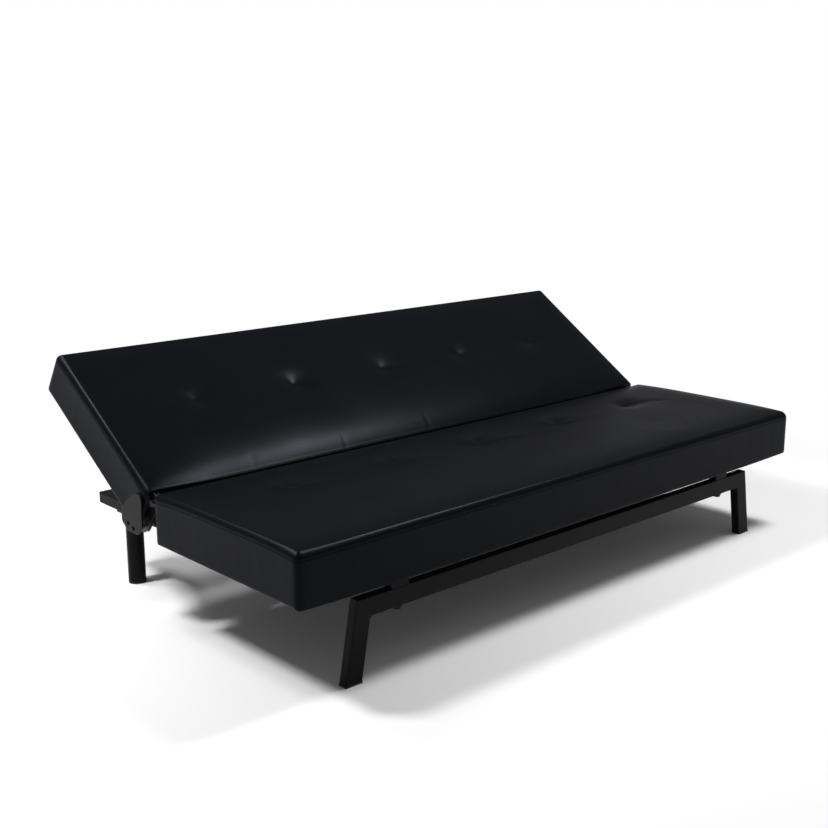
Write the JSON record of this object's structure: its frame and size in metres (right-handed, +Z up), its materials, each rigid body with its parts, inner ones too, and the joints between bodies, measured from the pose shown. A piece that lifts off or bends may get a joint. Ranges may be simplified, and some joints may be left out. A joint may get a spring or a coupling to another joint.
{
  "type": "click clack sofa bed",
  "caption": "Low armless click clack sofa bed: slab seat and slab back in dark leather on a splayed tube frame, the back folding flat on ratchet hinges.",
  "frame": {"origin": "on the floor, under the middle of the bounding box of the whole sofa as built", "axes": "+X along the sofa towards its right end seen from the front, +Y from the front to the rear, +Z up"},
  "size_m": [1.815, 1.0352, 0.6069],
  "materials": {
    "leather": "satin",
    "foam": "matte",
    "dust_cloth": "matte",
    "twine": "matte",
    "timber": "matte",
    "hardboard": "matte",
    "frame_paint": "satin",
    "black_plastic": "matte",
    "zinc": "satin",
    "hinge_steel": "satin",
    "cover_paint": "gloss"
  },
  "bodies": {
    "root": {"front_crossbar": "frame_paint", "front_frame_welds": "frame_paint", "front_leg_glides": "black_plastic", "front_leg_left": "frame_paint", "front_leg_right": "frame_paint", "front_mount_bolts": "zinc", "front_mount_nuts": "zinc", "front_mount_washers": "zinc", "front_spacers": "frame_paint", "rail_bolts": "zinc", "rail_end_caps": "black_plastic", "rear_leg_glides": "black_plastic", "rear_leg_left": "frame_paint", "rear_leg_plates": "frame_paint", "rear_leg_right": "frame_paint", "seat_arm_left": "hinge_steel", "seat_arm_right": "hinge_steel", "seat_arm_screws": "zinc", "seat_cover": "leather", "seat_cross_timbers": "timber", "seat_deck_panel": "hardboard", "seat_dust_cloth": "dust_cloth", "seat_foam": "foam", "seat_front_rail": "timber", "seat_rear_rail": "timber", "seat_side_boards": "timber", "seat_tuft_ties": "twine", "side_rail_left": "frame_paint", "side_rail_right": "frame_paint"},
    "back": {"back_arm_inner_left": "hinge_steel", "back_arm_inner_right": "hinge_steel", "back_arm_outer_left": "hinge_steel", "back_arm_outer_right": "hinge_steel", "back_arm_screws": "zinc", "back_arm_spacers": "hinge_steel", "back_cover": "leather", "back_cross_timbers": "timber", "back_deck_panel": "hardboard", "back_dust_cloth": "dust_cloth", "back_foam": "foam", "back_lower_rail": "timber", "back_side_boards": "timber", "back_tuft_ties": "twine", "back_upper_rail": "timber", "hinge_cover_left": "cover_paint", "hinge_cover_right": "cover_paint", "hinge_cover_screws": "zinc", "hinge_cover_sleeves": "zinc", "pawl_bolt_nuts": "zinc", "pawl_bolts": "zinc", "pawl_springs": "hinge_steel", "pivot_bolt_nuts": "zinc", "pivot_bolts": "zinc"},
    "ring_left": {"release_ring_left": "hinge_steel"},
    "ring_right": {"release_ring_right": "hinge_steel"},
    "pawl_left": {"pawl_left": "hinge_steel"},
    "pawl_right": {"pawl_right": "hinge_steel"}
  },
  "joints": [
    {"name": "back_recline", "type": "hinge", "parent": "root", "child": "back", "pos_m": [0, 0.06037, 0.31], "axis": [1, 0, 0], "range_deg": [-33.5, 36.5]},
    {"name": "release_ring_left_turn", "type": "hinge", "parent": "back", "child": "ring_left", "pos_m": [-0.8754, 0.06037, 0.31], "axis": [1, 0, 0], "range_deg": [0, 15]},
    {"name": "pawl_left_drop", "type": "hinge", "parent": "back", "child": "pawl_left", "pos_m": [-0.8754, 0.11508, 0.26726], "axis": [1, 0, 0], "range_deg": [-6, 0]},
    {"name": "release_ring_right_turn", "type": "hinge", "parent": "back", "child": "ring_right", "pos_m": [0.8754, 0.06037, 0.31], "axis": [1, 0, 0], "range_deg": [0, 15]},
    {"name": "pawl_right_drop", "type": "hinge", "parent": "back", "child": "pawl_right", "pos_m": [0.8754, 0.11508, 0.26726], "axis": [1, 0, 0], "range_deg": [-6, 0]}
  ],
  "couplings": [
    {"joint": "pawl_left_drop", "follows": "release_ring_left_turn", "ratio": -0.4},
    {"joint": "pawl_right_drop", "follows": "release_ring_right_turn", "ratio": -0.4}
  ]
}
